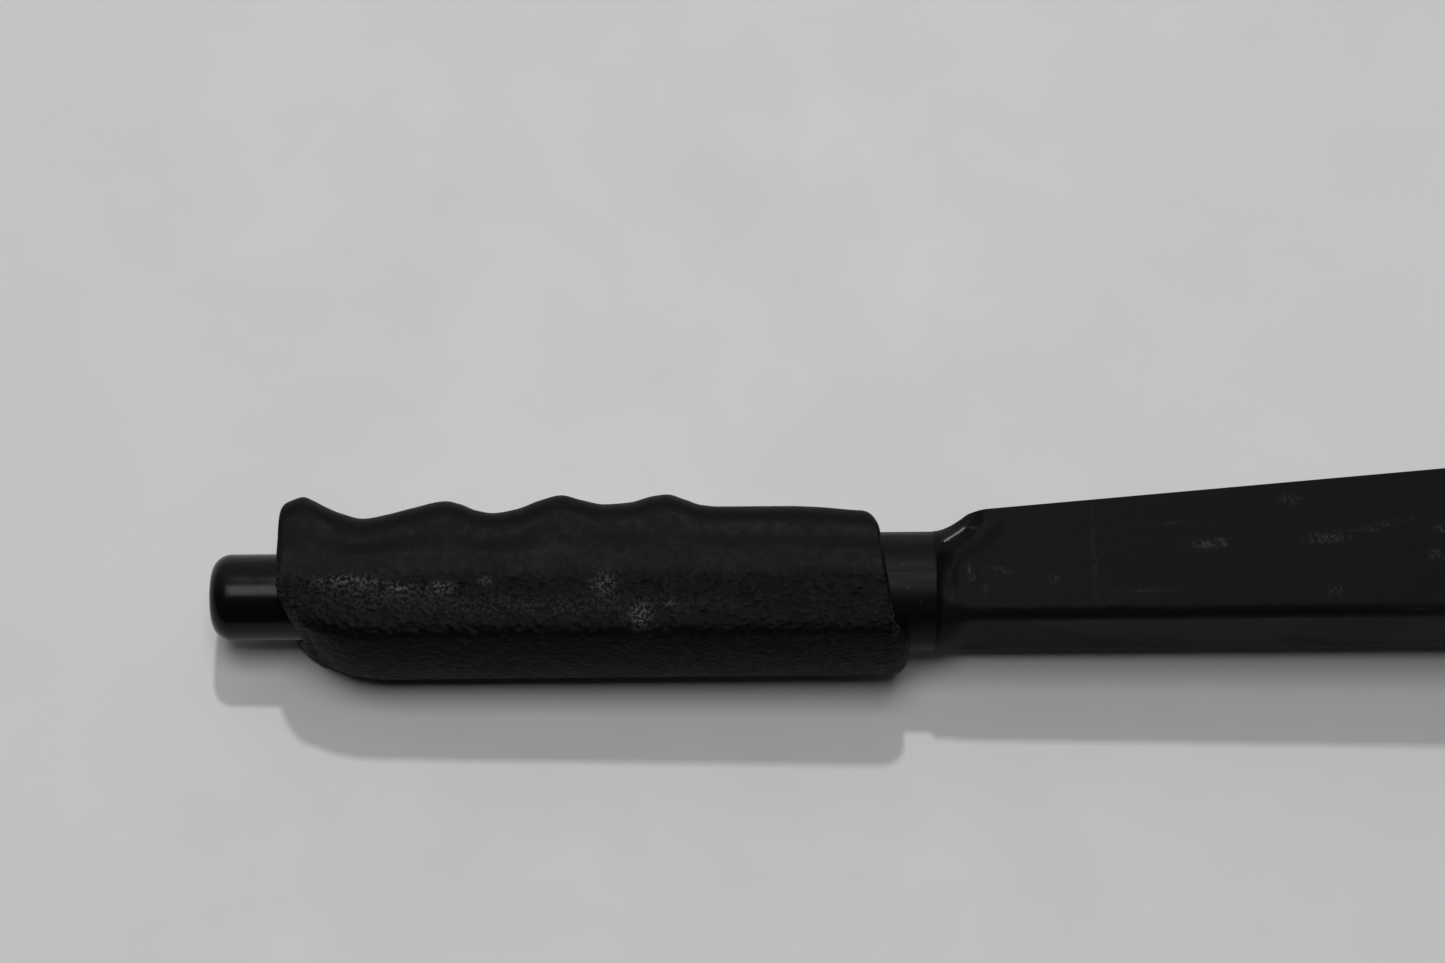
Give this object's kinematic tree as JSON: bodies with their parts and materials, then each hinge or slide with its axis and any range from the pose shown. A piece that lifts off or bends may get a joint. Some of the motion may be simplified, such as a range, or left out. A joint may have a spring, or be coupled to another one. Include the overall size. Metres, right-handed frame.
{
  "type": "parking brake lever",
  "caption": "Hand parking brake lever: finger-grooved grip with an end push button, steel tube, pressed channel arm, pawl, ratchet segment and cable stirrup.",
  "frame": {"origin": "centre of the pivot sleeve's bore, midway between its ends", "axes": "the lever lies on its side: +Z along the pivot bolt, +X from the push button towards the pivot, -Y the side that faces up in the car (palm side), +Y the finger side and the channel's open side"},
  "size_m": [0.3655, 0.0727, 0.043],
  "materials": {
    "grip_plastic": "moulded black plastic with a worn leather grain",
    "button_plastic": "smooth glossy black",
    "tube_paint": "satin black paint",
    "arm_paint": "black dip paint with scuffs and rust specks",
    "guide_plastic": "natural nylon",
    "zinc_plate": "dulled zinc plate",
    "spring_steel": "oiled spring steel",
    "hardened_steel": "hardened steel with a trace of grease",
    "rivet_steel": "rivet heads under the arm's black paint",
    "bush_bronze": "sintered bronze"
  },
  "bodies": {
    "lever": {"arm_channel": "arm_paint", "arm_cheek_left": "arm_paint", "arm_cheek_right": "arm_paint", "lever_tube": "tube_paint", "grip": "grip_plastic", "button_guide": "guide_plastic", "rod_guide": "guide_plastic", "spring_seat": "zinc_plate", "button_spring": "spring_steel", "pawl_pin": "rivet_steel", "stop_pin": "rivet_steel", "pivot_bush_left": "bush_bronze", "pivot_bush_right": "bush_bronze", "clevis_pin": "zinc_plate", "clevis_washer": "zinc_plate", "clevis_clip": "spring_steel"},
    "release": {"release_button": "button_plastic", "release_rod": "zinc_plate", "rod_retainer": "spring_steel"},
    "pawl": {"pawl": "hardened_steel"},
    "segment": {"ratchet_segment": "hardened_steel", "pivot_sleeve": "zinc_plate"},
    "stirrup": {"cable_stirrup": "zinc_plate"}
  },
  "joints": [
    {"name": "button_press", "type": "slide", "parent": "lever", "child": "release", "axis": [1, 0, 0], "range_m": [-0.0015, 0.006], "stiffness_N_per_m": 1500, "springref_m": -0.008, "deforming": ["button_spring"]},
    {"name": "pawl_turn", "type": "hinge", "parent": "lever", "child": "pawl", "pos_m": [-0.058, 0.001, 0], "axis": [0, 0, 1], "range_deg": [-7.5, 30]},
    {"name": "ratchet_turn", "type": "hinge", "parent": "lever", "child": "segment", "pos_m": [0, 0, 0], "axis": [0, 0, 1], "range_deg": [-36, 0]},
    {"name": "stirrup_swing", "type": "hinge", "parent": "lever", "child": "stirrup", "pos_m": [0.004, 0.038, 0], "axis": [0, 0, 1], "range_deg": [-36, 20]}
  ],
  "couplings": [
    {"joint": "pawl_turn", "follows": "button_press", "rad_per_m": 86.957}
  ]
}
